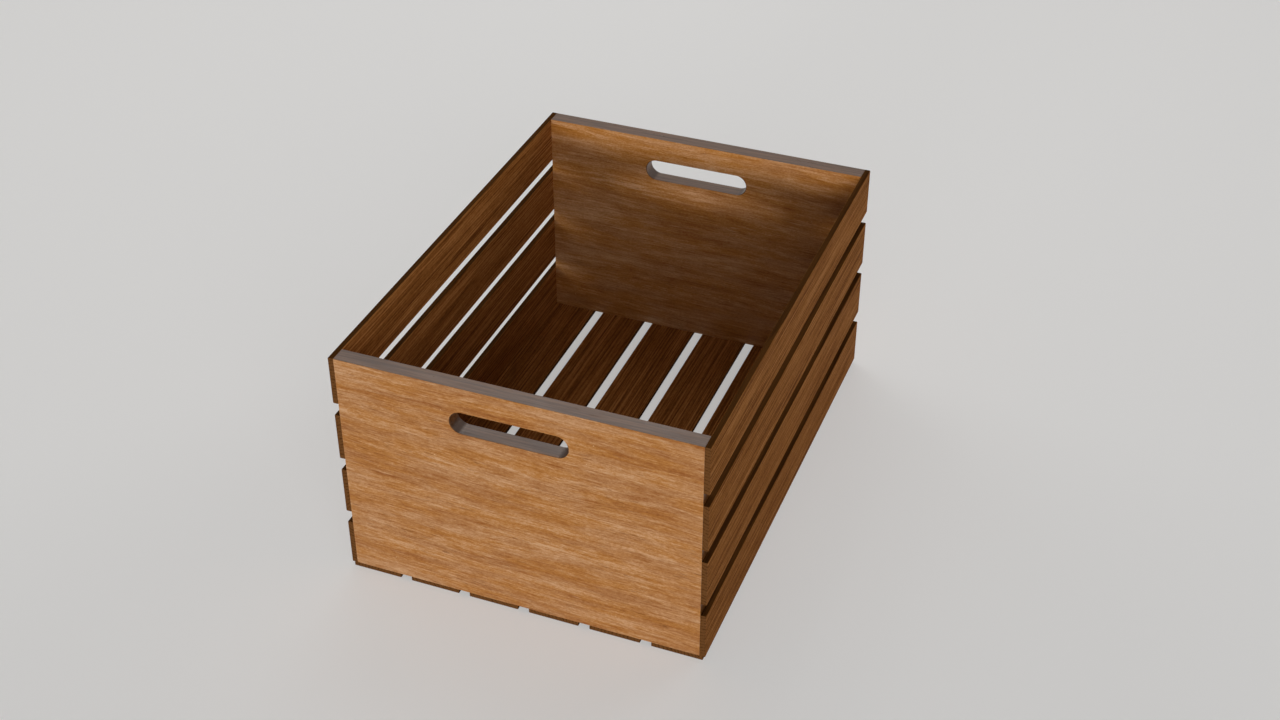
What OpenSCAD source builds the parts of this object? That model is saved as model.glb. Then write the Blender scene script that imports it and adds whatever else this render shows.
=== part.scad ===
// Open slatted storage crate
// Two end boards with hand holes carry the side slats on their ends and the bottom slats
// under them. Thin headless pins hold each slat end.
// The origin is the middle of the footprint, on the ground, and the crate runs along Y.

/* [Crate] */
// Length of the crate and of every slat
crate_l = 450; // [300:1:600]

/* [End boards] */
// Width of an end board, between the side slats
panel_w = 314; // [300:1:420]
// Height of an end board
panel_h = 216; // [208:1:320]
// Thickness of an end board
panel_t = 15; // [10:0.5:25]

/* [Slats] */
// Width of the side and bottom slats
slat_w = 45; // [30:1:50]
// Thickness of the side slats
side_slat_t = 5; // [4:0.5:10]
// Number of slats on each side, one above the other
side_slats = 4; // [2:1:4]
// Thickness of the bottom slats
bottom_slat_t = 4; // [3:0.5:10]
// Number of bottom slats, side by side
bottom_slats = 6; // [3:1:6]
// How far the bottom stays in from the outer faces of the side slats
bottom_inset = 2; // [0:0.5:3]
// Bevel along the long edges of every board
board_ease = 0.5; // [0.2:0.1:1]

/* [Hand holes] */
// Length of a hand hole over its round ends
grip_l = 102; // [80:1:130]
// Height of a hand hole
grip_h = 21; // [18:1:40]
// Height of the wood left above a hand hole
grip_cover = 24; // [15:1:60]
// How far a hand hole lies off the middle of its board, minus to the left
grip_shift = -5.5; // [-20:0.5:20]
// Bevel around both rims of a hand hole
grip_ease = 0.8; // [0.2:0.1:2]

/* [Pins] */
// Side of the square wire that the pins are cut from
pin_w = 0.8; // [0.6:0.1:1.6]
// Length of a pin
pin_l = 20; // [15:1:30]
// How deep a pin's head is set below the face of its slat
pin_set = 0.5; // [0.2:0.1:1]
// Distance from a pin to the nearest long edge of its slat
pin_edge = 12; // [8:1:14]
// Distance from the pins to the mid-plane of the end board, inward at the sides and outward below
pin_stagger = 3; // [1.5:0.5:4]

/* [Hidden] */
// Width of the bottom over all its slats
bottom_w = panel_w + 2 * side_slat_t - 2 * bottom_inset;
// Spacing of the slats, from middle to middle
side_pitch = (panel_h - slat_w) / (side_slats - 1);
bottom_pitch = (bottom_w - slat_w) / (bottom_slats - 1);
// Distance from the middle of the crate to the mid-plane of an end board
panel_y = (crate_l - panel_t) / 2;
// Middle of a hand hole above the ground
grip_z = bottom_slat_t + panel_h - grip_cover - grip_h / 2;
// Distance between the middles of a hand hole's round ends
grip_run = grip_l - grip_h;
// How far a cutting shape reaches past the face it cuts
cut_over = 1;
// Facets around a hand hole's round ends
grip_fn = 64;
// Wood of the end boards, wood of the slats and steel
panel_colour = "#c48f58";
slat_colour = "#8f5f38";
pin_colour = "#a8a8ac";

// Section of a planed board, centred, with its four corners bevelled
module board_section(wide, high) {
    x = wide / 2;
    y = high / 2;
    e = board_ease;
    polygon([
        [x - e, y], [e - x, y], [-x, y - e], [-x, e - y],
        [e - x, -y], [x - e, -y], [x, e - y], [x, y - e]
    ]);
}

// Straight or flared slot through the XY plane, upright, with round ends along X
module slot(r_low, r_high, high) {
    for (x = [-grip_run / 2, grip_run / 2])
        translate([x, 0, 0])
            cylinder(h = high, r1 = r_low, r2 = r_high, $fn = grip_fn);
    rotate([90, 0, 90])
        linear_extrude(height = grip_run, center = true)
            polygon([[-r_low, 0], [r_low, 0], [r_high, high], [-r_high, high]]);
}

// Space of a hand hole, centred in the board's thickness, with a bevel at each rim
module grip_space() {
    r = grip_h / 2;
    reach = panel_t / 2 + cut_over;
    translate([0, 0, -reach])
        slot(r, r, 2 * reach);
    for (turn = [0, 180])
        rotate([0, turn, 0])
            translate([0, 0, panel_t / 2 - grip_ease])
                slot(r, r + grip_ease + cut_over, grip_ease + cut_over);
}

// One slat, lying flat with its inner face on the XY plane
module slat(thick) {
    translate([0, 0, thick / 2])
        rotate([90, 0, 0])
            linear_extrude(height = crate_l, center = true)
                board_section(slat_w, thick);
}

// Rods at the pins of one flat slat, from a depth below its outer face down to the pins' tips
module slat_rods(thick, inward, depth) {
    tip = pin_set + pin_l;
    for (x = [pin_edge - slat_w / 2, slat_w / 2 - pin_edge])
        for (y = [inward - panel_y, panel_y - inward])
            translate([x - pin_w / 2, y - pin_w / 2, thick - tip])
                cube([pin_w, pin_w, tip - depth]);
}

module side_rods(depth) {
    slat_rods(side_slat_t, pin_stagger, depth);
}

module bottom_rods(depth) {
    slat_rods(bottom_slat_t, -pin_stagger, depth);
}

// Place of side slat number i, counted from the top: side is -1 on the left and 1 on the right
module on_side(side, i) {
    z = bottom_slat_t + panel_h - slat_w / 2 - (i - 1) * side_pitch;
    translate([side * panel_w / 2, 0, z])
        rotate([0, side * 90, 0])
            children();
}

// Place of bottom slat number i, counted from the left
module on_bottom(i) {
    translate([(slat_w - bottom_w) / 2 + (i - 1) * bottom_pitch, 0, bottom_slat_t])
        rotate([0, 180, 0])
            children();
}

// End board: end is -1 at the front and 1 at the back
module end_board(end) {
    color(panel_colour)
        difference() {
            translate([0, end * panel_y, bottom_slat_t + panel_h / 2])
                rotate([90, 0, 90])
                    linear_extrude(height = panel_w, center = true)
                        board_section(panel_t, panel_h);
            translate([grip_shift, end * panel_y, grip_z])
                rotate([90, 0, 0])
                    grip_space();
            for (side = [-1, 1])
                for (i = [1:side_slats])
                    on_side(side, i)
                        side_rods(-cut_over);
            for (i = [1:bottom_slats])
                on_bottom(i)
                    bottom_rods(-cut_over);
        }
}

module front_panel() {
    end_board(-1);
}

module back_panel() {
    end_board(1);
}

module side_slat(side, i) {
    color(slat_colour)
        on_side(side, i)
            difference() {
                slat(side_slat_t);
                side_rods(-cut_over);
            }
}

module bottom_slat(i) {
    color(slat_colour)
        on_bottom(i)
            difference() {
                slat(bottom_slat_t);
                bottom_rods(-cut_over);
            }
}

module side_pins(side) {
    color(pin_colour)
        for (i = [1:side_slats])
            on_side(side, i)
                side_rods(pin_set);
}

module bottom_pins() {
    color(pin_colour)
        for (i = [1:bottom_slats])
            on_bottom(i)
                bottom_rods(pin_set);
}

front_panel();
back_panel();
for (i = [1:side_slats]) {
    side_slat(-1, i);
    side_slat(1, i);
}
for (i = [1:bottom_slats])
    bottom_slat(i);
side_pins(-1);  // left_pins
side_pins(1);  // right_pins
bottom_pins();
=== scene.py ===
"""Looks of an open slatted storage crate, modelled around its fixed CAD frame.

Each board is cut to the place of its CAD node, eased, bored and finished in wood whose
figure belongs to that board alone. The steel pins keep their CAD shapes.
"""

import math
import random

import bmesh
import bpy
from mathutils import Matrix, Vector


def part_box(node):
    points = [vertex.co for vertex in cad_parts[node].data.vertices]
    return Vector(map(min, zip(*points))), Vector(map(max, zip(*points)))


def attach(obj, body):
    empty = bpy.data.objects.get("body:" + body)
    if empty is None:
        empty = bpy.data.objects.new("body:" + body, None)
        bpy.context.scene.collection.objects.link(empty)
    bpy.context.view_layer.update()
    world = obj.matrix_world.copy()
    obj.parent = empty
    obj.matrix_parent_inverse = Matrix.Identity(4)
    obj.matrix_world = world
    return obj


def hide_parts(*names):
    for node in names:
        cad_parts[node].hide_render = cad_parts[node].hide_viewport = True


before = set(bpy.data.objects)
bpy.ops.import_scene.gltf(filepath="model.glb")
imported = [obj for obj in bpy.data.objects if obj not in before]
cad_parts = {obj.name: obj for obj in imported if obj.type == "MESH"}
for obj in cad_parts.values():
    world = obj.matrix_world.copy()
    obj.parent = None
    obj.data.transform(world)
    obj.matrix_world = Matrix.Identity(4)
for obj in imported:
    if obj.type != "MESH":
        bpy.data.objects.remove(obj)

bl_info = {
    "name": "Slatted storage crate",
    "version": (1, 0, 0),
    "blender": (4, 5, 0),
    "location": "View3D > Sidebar > Crate",
    "description": "Boards, hand holes, wood and light of a slatted storage crate",
    "category": "Object",
}

MM = 0.001
METRES_TO_MM = 1000.0

# Nodes of the frame
END_BOARDS = ("front_panel", "back_panel")
SIDE_SLATS = tuple(f"{side}_slat_{i}" for side in ("left", "right") for i in (1, 2, 3, 4))
BOTTOM_SLATS = tuple(f"bottom_slat_{i}" for i in (1, 2, 3, 4, 5, 6))
PIN_NODES = ("left_pins", "right_pins", "bottom_pins")

# Attributes of a piece: the heart of its tree in mm, and the axis through its thickness
HEART = "heart"
THROUGH = "through"

# Meshes: how near points have the same place, facets of a hand hole, steps of a rounding
NEAR = 1e-5
RIM_SLACK = 0.1 * MM
HOLE_FACETS = 64
ARRIS_SEGMENTS = 3
END_SEGMENTS = 2
SMOOTH_BELOW = math.radians(35)

# Wood, in mm: spacing of the rings and flecks, and reach of the random places in the tree
RING_SPACING = 3.1
FLECK_SPACING = 15.0
BOARD_HEART_REACH = 900
SLAT_HEART_ACROSS = (42, 80)
SLAT_HEART_THROUGH = (6, 30)
SLAT_HEART_ALONG = 600
BOARD_SEED = 11
SLAT_SEED = 23
DULL_STEEL = 0.7

# Stage: directions towards the lamps, the place of the sheen lamp, and the angles they span
FRONT_LAMPS = tuple((x, -1, 0.04) for x in (-0.08, 0, 0.08))
RIGHT_LAMP = (0.6, -1, 0.36)
BACK_LAMP = (0.55, 1, 0.2)
LEFT_LAMP = (-1, 0.45, 0.2)
SHEEN_LAMP = (-0.55, 1.15, 1.75)
SHEEN_SIZE = 1.15
NARROW, WIDE, WIDER = (math.radians(angle) for angle in (4.5, 26, 45))
SEEN_RAYS = ("Is Camera Ray", "Is Glossy Ray", "Is Transmission Ray")
BLACK = (0, 0, 0)
WHITE = (1, 1, 1)
FLOOR_RADIUS = 14.0
FLOOR_FACETS = 96
CAMERA_PLACE = (0.48777, -1.21201, 1.04059)
CAMERA_DOWN = math.radians(35.463)
CAMERA_TURN = math.radians(21.186)
SENSOR_WIDTH = 36.0


def srgb(red, green, blue):
    """Linear colour of a screen colour from 0 to 255."""
    parts = [c / 255 for c in (red, green, blue)]
    return tuple(c / 12.92 if c <= 0.04045 else ((c + 0.055) / 1.055) ** 2.4 for c in parts)


def colour(name, text, red, green, blue):
    """Colour property with a default given as a screen colour."""
    return bpy.props.FloatVectorProperty(
        name=name, description=text, subtype="COLOR", size=3, min=0, max=1,
        default=srgb(red, green, blue),
    )


def length(name, text, metres):
    """Length property in metres."""
    return bpy.props.FloatProperty(
        name=name, description=text, unit="LENGTH", min=0, default=metres, precision=4,
    )


def light_level(name, text, level):
    """Strength property of a light."""
    return bpy.props.FloatProperty(name=name, description=text, default=level, min=0)


class CrateSizes(bpy.types.PropertyGroup):
    """Sizes that the CAD boxes don't give."""

    arris: length("Arris", "Radius along the long edges of every board", 0.5 * MM)
    end_arris: length("End arris", "Radius around the sawn ends of the slats", 0.3 * MM)
    hole_length: length("Hole length", "Length of a hand hole over its round ends", 102 * MM)
    hole_height: length("Hole height", "Height of a hand hole", 21 * MM)
    hole_cover: length("Hole cover", "Height of the wood above a hand hole", 24 * MM)
    hole_shift: length("Hole shift", "How far a hand hole lies left of the middle", 5.5 * MM)
    hole_rim: length("Hole rim", "Radius around both rims of a hand hole", 0.8 * MM)
    pin_side: length("Pin side", "Side of the square pin holes", 0.8 * MM)
    pin_edge: length("Pin to edge", "From a pin to the nearest long edge of its slat", 12 * MM)
    pin_inward: length("Side pins to end", "From a side pin to the end of its slat", 10.5 * MM)
    pin_outward: length("Bottom pins to end", "From a bottom pin to the end of its slat", 4.5 * MM)


class CrateColours(bpy.types.PropertyGroup):
    """Colours of the wood and steel, and the painted shade in the joints of the end boards."""

    board_shade: colour("Board shade", "Dark bands of the end boards", 138, 78, 22)
    board_honey: colour("Board honey", "Main colour of the end boards", 170, 119, 72)
    board_orange: colour("Board orange", "Warmer patches of the end boards", 171, 113, 50)
    board_tan: colour("Board tan", "Light bands of the end boards", 200, 155, 114)
    board_pore: colour("Board pores", "Open pores of the end boards", 104, 58, 22)
    board_silk: colour("Board silk", "Thin pale lines of the end boards", 212, 172, 132)
    board_fleck: colour("Board flecks", "Small pale dots of the end boards", 222, 190, 150)
    board_edge: colour("Board edge", "Sawn edges and hole walls", 128, 91, 63)
    board_edge_shade: colour("Board edge shade", "Streaks of the sawn edges", 93, 63, 42)
    # Painted shade: this dark colour darkens the arrises where an end board meets the side slats,
    # and it is also the dark layers of the sawn board ends
    board_dark_layers_and_seam_shade: colour("Board dark layers and seam shade", "Dark layers of the board ends, and painted shade where an end board meets the side slats", 62, 36, 16)
    board_end: colour("Board end", "Sawn ends of the end boards", 110, 66, 26)
    slat_shade: colour("Slat shade", "Dark lines of the slats", 107, 61, 25)
    slat_honey: colour("Slat honey", "Main colour of the slats", 150, 95, 45)
    slat_tan: colour("Slat tan", "Light lines of the slats", 184, 124, 70)
    sawn_wood: colour("Sawn wood", "Narrow faces of the slats", 90, 55, 22)
    sawn_shade: colour("Sawn wood shade", "Dark lines of the narrow faces", 66, 38, 14)
    end_grain: colour("End grain", "Sawn ends of the slats", 104, 68, 37)
    steel: colour("Pin steel", "Wire of the pins", 150, 150, 154)


class CrateStage(bpy.types.PropertyGroup):
    """Floor, light and camera."""

    floor: colour("Floor", "Paint of the plain floor", 190, 189, 187)
    floor_glow: colour("Floor glow", "What the camera sees added to the floor", 168, 167, 166)
    backdrop: colour("Backdrop", "Background above the floor", 214, 213, 212)
    ambient: light_level("Ambient", "Level of the light from all round", 0.115)
    front: light_level("Front light", "Level of the low light from the front", 1.74)
    right: light_level("Right light", "Level of the soft light from the front right", 0.95)
    back: light_level("Back light", "Level of the soft light from the back right", 0.85)
    left: light_level("Left light", "Level of the soft light from the left", 0.8)
    sheen: light_level("Sheen light", "Watts of the lamp that shows in the gloss of edges", 6.3)
    focal_length: bpy.props.FloatProperty(
        name="Focal length", description="Camera lens in millimetres", default=50.0, min=1,
    )


class Value:
    """A number that changes over a surface. Sums with it add Math nodes to its finish."""

    def __init__(self, finish, socket):
        self.finish = finish
        self.socket = socket

    def __add__(self, other):
        return self.finish.maths("ADD", self, other)

    def __sub__(self, other):
        return self.finish.maths("SUBTRACT", self, other)

    def __rsub__(self, other):
        return self.finish.maths("SUBTRACT", other, self)

    def __mul__(self, other):
        return self.finish.maths("MULTIPLY", self, other)

    def __truediv__(self, other):
        return self.finish.maths("DIVIDE", self, other)

    __radd__ = __add__
    __rmul__ = __mul__


class Nodes:
    """The nodes of a material or of the world."""

    def __init__(self, tree):
        self.tree = tree

    def node(self, kind, settings=None, inputs=None, output=0):
        """A new node, with its settings made first, then the values or links of its sockets."""
        made = self.tree.nodes.new(kind)
        for name, setting in (settings or {}).items():
            setattr(made, name, setting)
        for key, value in (inputs or {}).items():
            self.feed(made.inputs[key], value)
        return Value(self, made.outputs[output]) if made.outputs else None

    def feed(self, socket, value):
        """Links a value to a socket, or sets the socket."""
        if isinstance(value, Value):
            self.tree.links.new(value.socket, socket)
        elif hasattr(value, "__len__") and len(value) == 3 and socket.type == "RGBA":
            socket.default_value = (*value, 1)
        else:
            socket.default_value = value


class Finish(Nodes):
    """A material, built from expressions on values."""

    MIX_FACTOR, MIX_A, MIX_B, MIX_RESULT = 0, 6, 7, 2

    def __init__(self, name, **constants):
        self.material = bpy.data.materials.new(name)
        self.material.use_nodes = True
        super().__init__(self.material.node_tree)
        self.shader = self.tree.nodes["Principled BSDF"]
        for socket, value in constants.items():
            self.shader.inputs[socket.replace("_", " ")].default_value = value

    def maths(self, operation, *values):
        """Math node on one to three values."""
        return self.node("ShaderNodeMath", {"operation": operation}, dict(enumerate(values)))

    def vector(self, operation, *values, output=0):
        """Vector Math node."""
        settings = {"operation": operation}
        return self.node("ShaderNodeVectorMath", settings, dict(enumerate(values)), output)

    def attribute(self, name, output):
        """The piece's own attribute."""
        return self.node("ShaderNodeAttribute", {"attribute_name": name}, output=output)

    def noise(self, point, lengths, detail=2.0, roughness=0.5):
        """Noise around 0, with features of the given lengths in mm along X, Y and Z."""
        scaled = self.vector("MULTIPLY", point, [1 / size for size in lengths])
        inputs = {"Vector": scaled, "Scale": 1.0, "Detail": detail, "Roughness": roughness}
        return self.node("ShaderNodeTexNoise", inputs=inputs, output="Fac") - 0.5

    def step(self, value, low, high):
        """Soft step from 0 at low to 1 at high."""
        settings = {"interpolation_type": "SMOOTHSTEP"}
        inputs = {"Value": value, "From Min": low, "From Max": high}
        return self.node("ShaderNodeMapRange", settings, inputs)

    def blend(self, factor, start, end):
        """Colour between two colours."""
        inputs = {self.MIX_FACTOR: factor, self.MIX_A: start, self.MIX_B: end}
        return self.node("ShaderNodeMix", {"data_type": "RGBA"}, inputs, self.MIX_RESULT)

    def three_tones(self, tone, shade, middle, light):
        """Colour from shade through middle to light, as the tone goes from 0 to 1."""
        darker = self.blend(self.step(tone, -0.1, 0.6), shade, middle)
        return self.blend(self.step(tone, 0.4, 1.1), darker, light)

    def bump(self, height, depth, strength):
        """Normal of a relief that is depth metres high."""
        inputs = {"Strength": strength, "Distance": depth, "Height": height}
        self.feed(self.shader.inputs["Normal"], self.node("ShaderNodeBump", inputs=inputs))

    def own_point(self):
        """Place on the piece in mm, measured from the heart of the tree that it was cut from."""
        place = self.node("ShaderNodeTexCoord", output="Object")
        inputs = {0: place, "Scale": METRES_TO_MM}
        scaled = self.node("ShaderNodeVectorMath", {"operation": "SCALE"}, inputs)
        return self.vector("SUBTRACT", scaled, self.attribute(HEART, "Vector"))

    def facing(self, axis):
        """How squarely the surface faces along an axis: 1 is square on, 0 is edge on."""
        normal = self.node("ShaderNodeTexCoord", output="Normal")
        return self.maths("ABSOLUTE", self.vector("DOT_PRODUCT", normal, axis, output="Value"))


def board_wood(colours):
    """Honey wood of the end boards: broad wavy bands along X, thin lines and open pores, with
    painted shade where the boards meet the side slats.
    """
    finish = Finish("end_board_wood", Specular_IOR_Level=0.5)
    point = finish.own_point()
    sway = finish.noise(point, (170, 60, 42), detail=2) * 16
    slope = finish.vector("DOT_PRODUCT", point, (0.03, 0, 0), output="Value")
    lift = finish.node("ShaderNodeCombineXYZ", inputs={"Z": sway + slope})
    grain = finish.vector("ADD", point, lift)
    bands = finish.noise(grain, (130, 40, 13), detail=4, roughness=0.6)
    mottle = finish.noise(grain, (14, 10, 6), detail=3, roughness=0.65)
    streaks = finish.noise(grain, (55, 9, 2.6), detail=4, roughness=0.7)
    fibres = finish.noise(grain, (20, 4, 1.1), detail=3, roughness=0.7)
    grit = finish.noise(point, (2.6, 1.4, 1.2), detail=2, roughness=0.7)
    tone = bands * 1.2 + mottle * 0.55 + streaks * 1.2 + fibres * 1.2 + grit * 1.0 + 0.49
    blush = finish.noise(grain, (75, 30, 12), detail=3, roughness=0.6)
    honey = finish.blend(
        finish.step(blush, -0.13, 0.13), colours.board_honey, colours.board_orange
    )
    figure = finish.three_tones(tone, colours.board_shade, honey, colours.board_tan)
    open_grain = finish.step(finish.noise(grain, (60, 20, 9), detail=2), -0.04, 0.12)
    pores = finish.step(finish.noise(grain, (12, 2, 0.8), detail=1), 0.13, 0.22) * open_grain
    figure = finish.blend(pores * 0.65, figure, colours.board_pore)
    silk = finish.step(finish.noise(grain, (26, 6, 1.3), detail=2), 0.12, 0.26)
    figure = finish.blend(silk * (1 - open_grain) * 0.5, figure, colours.board_silk)
    flecks = pale_flecks(finish, point)
    figure = finish.blend(flecks, figure, colours.board_fleck)
    along = finish.noise(point, (70, 3, 3), detail=4, roughness=0.65)
    edge = finish.blend(
        finish.step(along, -0.16, 0.16), colours.board_edge_shade, colours.board_edge
    )
    sideways = finish.facing((1, 0, 0))
    layers = finish.noise(point, (90, 1.5, 9), detail=3, roughness=0.6) + grit * 0.7
    end = finish.blend(
        finish.step(layers, -0.25, 0.1), colours.board_dark_layers_and_seam_shade, colours.board_end
    )
    edge = finish.blend(finish.step(sideways, 0.8, 1.0), edge, end)
    # Painted shade: surfaces that turn partly towards X, such as the arrises beside the side slats
    # and the round ends of the hole walls, are darkened as if shade fell in the joint
    painted_seam_shade = finish.step(sideways, 0.1, 0.4) * (1 - finish.step(sideways, 0.85, 1.0))
    face = finish.step(finish.facing((0, 1, 0)), 0.45, 0.8)
    figure = finish.blend(painted_seam_shade * 0.8, finish.blend(face, edge, figure), colours.board_dark_layers_and_seam_shade)
    finish.feed(finish.shader.inputs["Base Color"], figure)
    rough = 0.33 + face * 0.17 - streaks * 0.25 - fibres * 0.2 + pores * 0.2
    finish.feed(finish.shader.inputs["Roughness"], rough)
    finish.bump(streaks * 0.5 + fibres + grit * 0.6 - pores * 0.8, 0.12 * MM, 0.35)
    return finish.material


def pale_flecks(finish, point):
    """Mask of a few small round pale flecks."""
    inputs = {"Vector": point, "Scale": 1 / FLECK_SPACING, "Randomness": 1.0}
    away = finish.node("ShaderNodeTexVoronoi", {"feature": "F1"}, inputs, output="Distance")
    return (1 - finish.step(away * FLECK_SPACING, 0.2, 0.7)) * 0.7


def slat_wood(colours):
    """Darker straight-grained wood of the slats: rings round the tree's heart along Y."""
    finish = Finish("slat_wood", Specular_IOR_Level=0.005)
    point = finish.own_point()
    wander = finish.noise(point, (26, 220, 26), detail=2) * 7
    across = finish.vector("MULTIPLY", point, (1, 0, 1))
    radius = finish.vector("LENGTH", across, output="Value") + wander
    ring = finish.maths("FRACT", radius / RING_SPACING)
    late_wood = finish.step(ring, 0.35, 0.9) * (1 - finish.step(ring, 0.94, 1.0))
    streaks = finish.noise(point, (4, 200, 4), detail=4, roughness=0.65)
    fibres = finish.noise(point, (1.2, 30, 1.2), detail=3, roughness=0.65)
    lines = finish.noise(point, (1.0, 160, 1.0), detail=2, roughness=0.5)
    lined = finish.step(finish.noise(point, (12, 260, 12), detail=2), -0.12, 0.1)
    clouds = finish.noise(point, (26, 150, 26), detail=3, roughness=0.6)
    grit = finish.noise(point, (1.6, 4, 1.6), detail=2, roughness=0.7)
    tone = (
        clouds * 0.25 + streaks * 1.9 + fibres * 1.4 + lines * lined * 2.4 + grit * 0.8
        - late_wood * 0.3 + 0.58
    )
    figure = finish.three_tones(tone, colours.slat_shade, colours.slat_honey, colours.slat_tan)
    pores = finish.step(finish.noise(point, (0.7, 8, 0.7), detail=1), 0.18, 0.28)
    figure = finish.blend(pores * 0.4, figure, colours.sawn_wood)
    flat = finish.maths("ABSOLUTE", finish.vector(
        "DOT_PRODUCT", finish.node("ShaderNodeTexCoord", output="Normal"),
        finish.attribute(THROUGH, "Vector"), output="Value",
    ))
    sawn_tone = finish.step(fibres + streaks - late_wood * 0.3, -0.45, 0.2)
    sawn = finish.blend(sawn_tone, colours.sawn_shade, colours.sawn_wood)
    end = finish.step(finish.facing((0, 1, 0)), 0.5, 0.85)
    sawn = finish.blend(end * finish.step(sawn_tone, -0.4, 0.8), sawn, colours.end_grain)
    figure = finish.blend(finish.step(flat, 0.3, 0.8), sawn, figure)
    finish.feed(finish.shader.inputs["Base Color"], figure)
    finish.feed(finish.shader.inputs["Roughness"], 0.55 - streaks * 0.2 + end * 0.2)
    finish.bump(streaks * 0.5 + fibres - late_wood * 0.2 - pores * 0.5, 0.1 * MM, 0.35)
    return finish.material


def pin_steel(colours):
    """Bright drawn wire."""
    finish = Finish("pin_steel", Metallic=1.0)
    point = finish.own_point()
    drawn = finish.noise(point, (0.4, 0.4, 0.4), detail=2)
    finish.feed(finish.shader.inputs["Base Color"], finish.blend(
        finish.step(drawn, -0.2, 0.2), [c * DULL_STEEL for c in colours.steel], colours.steel
    ))
    finish.feed(finish.shader.inputs["Roughness"], 0.35 + drawn * 0.3)
    return finish.material


def clear_selection():
    """Nothing selected, in object mode."""
    bpy.ops.object.select_all(action="DESELECT")


def place_in_mesh():
    """Moves the place, turn and size of the selected object into its mesh."""
    bpy.ops.object.transform_apply(location=True, rotation=True, scale=True)


def block(name, low, high):
    """A new block between two corners."""
    clear_selection()
    bpy.ops.mesh.primitive_cube_add(size=1, location=(low + high) / 2, scale=high - low)
    made = bpy.context.object
    made.name = made.data.name = name
    place_in_mesh()
    return made


def select_in_mesh(piece, kind, wanted):
    """Goes into edit mode and selects the edges or vertices that a test on their points wants."""
    bpy.ops.object.mode_set(mode="EDIT")
    bpy.ops.mesh.select_mode(type=kind)
    bpy.ops.mesh.select_all(action="DESELECT")
    mesh = bmesh.from_edit_mesh(piece.data)
    if kind == "VERT":
        for vert in mesh.verts:
            vert.select_set(wanted(vert.co))
    else:
        for edge in mesh.edges:
            edge.select_set(wanted(*(vert.co for vert in edge.verts)))
    bmesh.update_edit_mesh(piece.data)


def round_edges(piece, radius, segments, wanted):
    """Rounds the edges that a test on their two ends wants."""
    select_in_mesh(piece, "EDGE", wanted)
    done = bpy.ops.mesh.bevel(offset=radius, segments=segments, profile=0.5, affect="EDGES")
    if done != {"FINISHED"}:
        raise RuntimeError(f"no edge of {piece.name} could be rounded")
    bpy.ops.object.mode_set(mode="OBJECT")


def cut_away(piece, cutter):
    """Cuts one solid out of a piece and removes the cutter."""
    clear_selection()
    piece.select_set(True)
    bpy.context.view_layer.objects.active = piece
    hole = piece.modifiers.new("cut", "BOOLEAN")
    hole.operation = "DIFFERENCE"
    hole.solver = "EXACT"
    hole.object = cutter
    bpy.ops.object.modifier_apply(modifier=hole.name)
    bpy.data.objects.remove(cutter)


def smooth(piece):
    """Smooth arrises that leave the flat faces flat."""
    clear_selection()
    piece.select_set(True)
    bpy.context.view_layer.objects.active = piece
    bpy.ops.object.shade_smooth_by_angle(angle=SMOOTH_BELOW)
    weights = piece.modifiers.new("weights", "WEIGHTED_NORMAL")
    weights.keep_sharp = True
    bpy.ops.object.modifier_apply(modifier=weights.name)


def finish_piece(piece, name, material, heart, through):
    """Names the piece, gives it its wood and its place in the tree, and ties it to the frame."""
    piece.name = piece.data.name = name
    piece.data.materials.clear()
    piece.data.materials.append(material)
    for label, vector in ((HEART, heart), (THROUGH, through)):
        layer = piece.data.attributes.new(label, "FLOAT_VECTOR", "POINT")
        layer.data.foreach_set("vector", list(vector) * len(piece.data.vertices))
    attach(piece, "root")
    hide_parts(name)


def copy_piece(piece, shift):
    """A copy with its own mesh, moved by a shift."""
    clear_selection()
    made = piece.copy()
    made.data = piece.data.copy()
    bpy.context.collection.objects.link(made)
    made.select_set(True)
    bpy.context.view_layer.objects.active = made
    bpy.ops.transform.translate(value=shift)
    place_in_mesh()
    return made


def hand_hole_cutter(sizes, low, high):
    """A bar with round ends, through a board that stands between two corners."""
    radius = sizes.hole_height / 2
    run = sizes.hole_length - sizes.hole_height
    middle = Vector((
        (low.x + high.x) / 2 - sizes.hole_shift - run / 2,
        (low.y + high.y) / 2,
        high.z - sizes.hole_cover - radius,
    ))
    clear_selection()
    bpy.ops.mesh.primitive_cylinder_add(
        vertices=HOLE_FACETS, radius=radius, depth=2 * (high.y - low.y), location=middle,
        rotation=(math.pi / 2, math.pi / HOLE_FACETS, 0),
    )
    cutter = bpy.context.object
    place_in_mesh()
    select_in_mesh(cutter, "VERT", lambda point: point.x > middle.x)
    bpy.ops.transform.translate(value=(run, 0, 0))
    bpy.ops.object.mode_set(mode="OBJECT")
    return cutter


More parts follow.
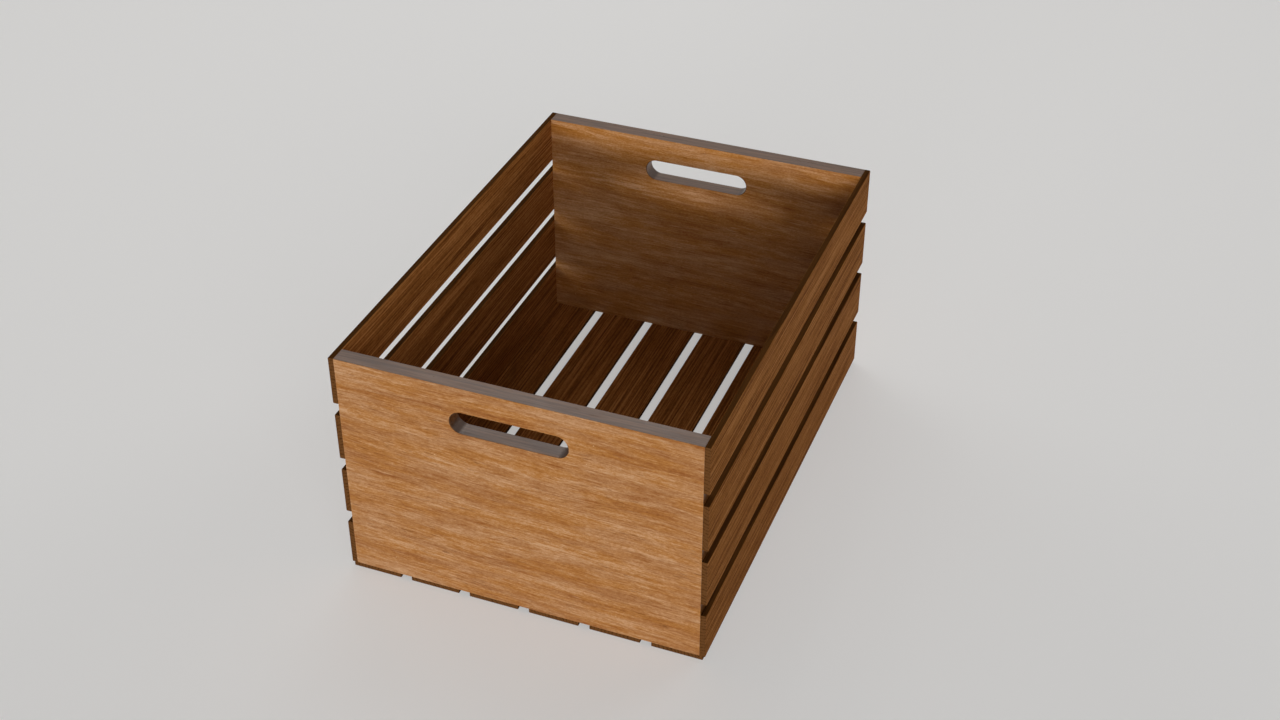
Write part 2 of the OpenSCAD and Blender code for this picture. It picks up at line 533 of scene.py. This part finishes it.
class CRATE_OT_end_boards(bpy.types.Operator):
    """Make the two end boards with their hand holes"""

    bl_idname = "crate.end_boards"
    bl_label = "End boards"

    def execute(self, context):
        sizes, material = context.scene.crate_sizes, board_wood(context.scene.crate_colours)
        draw = random.Random(BOARD_SEED)
        low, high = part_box(END_BOARDS[0])
        board = block("end_board", low, high)
        half = (high.x - low.x) / 2
        round_edges(board, sizes.arris, ARRIS_SEGMENTS, lambda a, b: abs(a.x - b.x) > half)
        cut_away(board, hand_hole_cutter(sizes, low, high))
        round_edges(
            board, sizes.hole_rim, ARRIS_SEGMENTS,
            lambda a, b: abs(a.y - b.y) < NEAR
            and min(abs(a.y - low.y), abs(a.y - high.y)) < NEAR
            and all(self.on_rim(sizes, low, high, point) for point in (a, b)),
        )
        smooth(board)
        for name in END_BOARDS:
            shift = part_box(name)[0] - low
            made = copy_piece(board, shift)
            heart = [draw.uniform(-BOARD_HEART_REACH, BOARD_HEART_REACH) for _ in range(3)]
            finish_piece(made, name, material, heart, (0, 1, 0))
        bpy.data.objects.remove(board)
        return {"FINISHED"}

    @staticmethod
    def on_rim(sizes, low, high, point):
        """Whether a point of a board's face lies on the outline of its hand hole."""
        radius = sizes.hole_height / 2
        reach = sizes.hole_length / 2 - radius
        middle_x = (low.x + high.x) / 2 - sizes.hole_shift
        middle_z = high.z - sizes.hole_cover - radius
        off_x = max(abs(point.x - middle_x) - reach, 0)
        return abs(math.hypot(off_x, point.z - middle_z) - radius) < RIM_SLACK


def cut_pin_holes(slat, sizes, low, high, end_gap):
    """Bores the four square pin holes through a slat that lies between two corners."""
    size = high - low
    thin = min(range(3), key=lambda axis: size[axis])
    wide = 2 if thin == 0 else 0
    reach = Vector((0, 0, 0))
    reach[thin] = size[thin]
    reach[wide] = reach[1] = sizes.pin_side / 2
    holes = []
    for across in (low[wide] + sizes.pin_edge, high[wide] - sizes.pin_edge):
        for along in (low.y + end_gap, high.y - end_gap):
            middle = (low + high) / 2
            middle[wide] = across
            middle.y = along
            holes.append(block("pin_hole", middle - reach, middle + reach))
    clear_selection()
    for hole in holes:
        hole.select_set(True)
    bpy.context.view_layer.objects.active = holes[0]
    bpy.ops.object.join()
    cut_away(slat, holes[0])


def make_slats(context, names, end_gap, material, draw):
    """Models the first slat of a row and copies it to the places of the others."""
    sizes = context.scene.crate_sizes
    low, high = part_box(names[0])
    half = (high.y - low.y) / 2
    slat = block("slat", low, high)
    round_edges(slat, sizes.arris, ARRIS_SEGMENTS, lambda a, b: abs(a.y - b.y) > half)
    round_edges(
        slat, sizes.end_arris, END_SEGMENTS,
        lambda a, b: abs(a.y - b.y) < NEAR and min(abs(a.y - low.y), abs(a.y - high.y)) < NEAR,
    )
    cut_pin_holes(slat, sizes, low, high, end_gap)
    smooth(slat)
    upright = high.x - low.x < high.z - low.z
    for name in names:
        corner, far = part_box(name)
        made = copy_piece(slat, corner - low)
        middle = (corner + far) / 2 * METRES_TO_MM
        across = draw.choice((-1, 1)) * draw.uniform(*SLAT_HEART_ACROSS)
        through = draw.choice((-1, 1)) * draw.uniform(*SLAT_HEART_THROUGH)
        offset = Vector((through, 0, across) if upright else (across, 0, through))
        offset.y = draw.uniform(-SLAT_HEART_ALONG, SLAT_HEART_ALONG)
        axis = (1, 0, 0) if upright else (0, 0, 1)
        finish_piece(made, name, material, middle + offset, axis)
    bpy.data.objects.remove(slat)


class CRATE_OT_slats(bpy.types.Operator):
    """Make the side slats and the bottom slats"""

    bl_idname = "crate.slats"
    bl_label = "Slats"

    def execute(self, context):
        sizes, material = context.scene.crate_sizes, slat_wood(context.scene.crate_colours)
        draw = random.Random(SLAT_SEED)
        make_slats(context, SIDE_SLATS, sizes.pin_inward, material, draw)
        make_slats(context, BOTTOM_SLATS, sizes.pin_outward, material, draw)
        return {"FINISHED"}


class CRATE_OT_pins(bpy.types.Operator):
    """Give the pins their steel"""

    bl_idname = "crate.pins"
    bl_label = "Pins"

    def execute(self, context):
        steel = pin_steel(context.scene.crate_colours)
        for name in PIN_NODES:
            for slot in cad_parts[name].material_slots:
                slot.material = steel
        return {"FINISHED"}


def soft_light(name, kind, towards, level, **settings):
    """A lamp that the camera doesn't see. Only an area lamp shows in gloss."""
    lamp = bpy.data.lights.new(name, kind)
    lamp.energy = level
    for setting, value in settings.items():
        setattr(lamp, setting, value)
    holder = bpy.data.objects.new(name, lamp)
    holder.location = towards
    holder.rotation_euler = Vector(towards).to_track_quat("Z", "Y").to_euler()
    holder.visible_camera = False
    holder.visible_glossy = kind == "AREA"
    bpy.context.collection.objects.link(holder)


class CRATE_OT_stage(bpy.types.Operator):
    """Make the floor, the lights, the background and the camera"""

    bl_idname = "crate.stage"
    bl_label = "Stage"

    def execute(self, context):
        stage = context.scene.crate_stage
        self.floor(stage)
        self.world(context, stage)
        share = stage.front / len(FRONT_LAMPS)
        for number, towards in enumerate(FRONT_LAMPS, start=1):
            soft_light(f"front_{number}", "SUN", towards, share, angle=NARROW)
        soft_light("right", "SUN", RIGHT_LAMP, stage.right, angle=WIDER)
        soft_light("back", "SUN", BACK_LAMP, stage.back, angle=WIDE)
        soft_light("left", "SUN", LEFT_LAMP, stage.left, angle=WIDER)
        soft_light("sheen", "AREA", SHEEN_LAMP, stage.sheen, size=SHEEN_SIZE)
        self.camera(context, stage)
        context.scene.view_settings.view_transform = "Standard"
        return {"FINISHED"}

    def floor(self, stage):
        """A wide plain floor that keeps the crate's shadow."""
        clear_selection()
        bpy.ops.mesh.primitive_circle_add(
            vertices=FLOOR_FACETS, radius=FLOOR_RADIUS, fill_type="NGON"
        )
        ground = bpy.context.object
        ground.name = ground.data.name = "floor"
        place_in_mesh()
        finish = Finish("floor_paint", Roughness=0.85, Specular_IOR_Level=0.2)
        finish.feed(finish.shader.inputs["Base Color"], stage.floor)
        seen = sum(
            (finish.node("ShaderNodeLightPath", output=ray) for ray in SEEN_RAYS), start=0.0
        )
        glow = finish.blend(seen, BLACK, stage.floor_glow)
        finish.feed(finish.shader.inputs["Emission Color"], glow)
        finish.shader.inputs["Emission Strength"].default_value = 1.0
        ground.data.materials.append(finish.material)

    def world(self, context, stage):
        """Even light from all round, and a pale background for what is seen or mirrored."""
        world = bpy.data.worlds.new("studio")
        context.scene.world = world
        world.use_nodes = True
        world.node_tree.nodes.clear()
        nodes = Nodes(world.node_tree)
        inputs = {"Color": WHITE, "Strength": stage.ambient}
        shader = nodes.node("ShaderNodeBackground", inputs=inputs)
        seen = nodes.node("ShaderNodeBackground", inputs={"Color": stage.backdrop})
        for ray in SEEN_RAYS:
            kind_of_ray = nodes.node("ShaderNodeLightPath", output=ray)
            inputs = {"Fac": kind_of_ray, 1: shader, 2: seen}
            shader = nodes.node("ShaderNodeMixShader", inputs=inputs)
        nodes.node("ShaderNodeOutputWorld", inputs={"Surface": shader})

    def camera(self, context, stage):
        """The camera at the photograph's viewing angle."""
        lens = bpy.data.cameras.new("camera")
        lens.lens = stage.focal_length
        lens.sensor_width = SENSOR_WIDTH
        holder = bpy.data.objects.new("camera", lens)
        holder.location = CAMERA_PLACE
        holder.rotation_euler = (math.pi / 2 - CAMERA_DOWN, 0, CAMERA_TURN)
        bpy.context.collection.objects.link(holder)
        context.scene.camera = holder


class CRATE_PT_panel(bpy.types.Panel):
    """Operators and values of the crate"""

    bl_idname = "CRATE_PT_panel"
    bl_label = "Slatted crate"
    bl_space_type = "VIEW_3D"
    bl_region_type = "UI"
    bl_category = "Crate"

    def draw(self, context):
        layout = self.layout
        for step in STEPS:
            layout.operator(step.bl_idname)
        for group in (context.scene.crate_sizes, context.scene.crate_colours,
                      context.scene.crate_stage):
            box = layout.box()
            for name in group.__annotations__:
                box.prop(group, name)


GROUPS = {
    "crate_sizes": CrateSizes, "crate_colours": CrateColours, "crate_stage": CrateStage,
}
STEPS = (CRATE_OT_end_boards, CRATE_OT_slats, CRATE_OT_pins, CRATE_OT_stage)


def register():
    """Makes the classes and their values known to the program."""
    for made in (*GROUPS.values(), *STEPS, CRATE_PT_panel):
        bpy.utils.register_class(made)
    for name, group in GROUPS.items():
        setattr(bpy.types.Scene, name, bpy.props.PointerProperty(type=group))


def unregister():
    """Takes the classes and their values away again."""
    for name in GROUPS:
        delattr(bpy.types.Scene, name)
    for made in reversed((*GROUPS.values(), *STEPS, CRATE_PT_panel)):
        bpy.utils.unregister_class(made)


def main():
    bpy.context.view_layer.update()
    register()
    bpy.ops.crate.end_boards()
    bpy.ops.crate.slats()
    bpy.ops.crate.pins()
    bpy.ops.crate.stage()


if __name__ == "__main__":
    main()
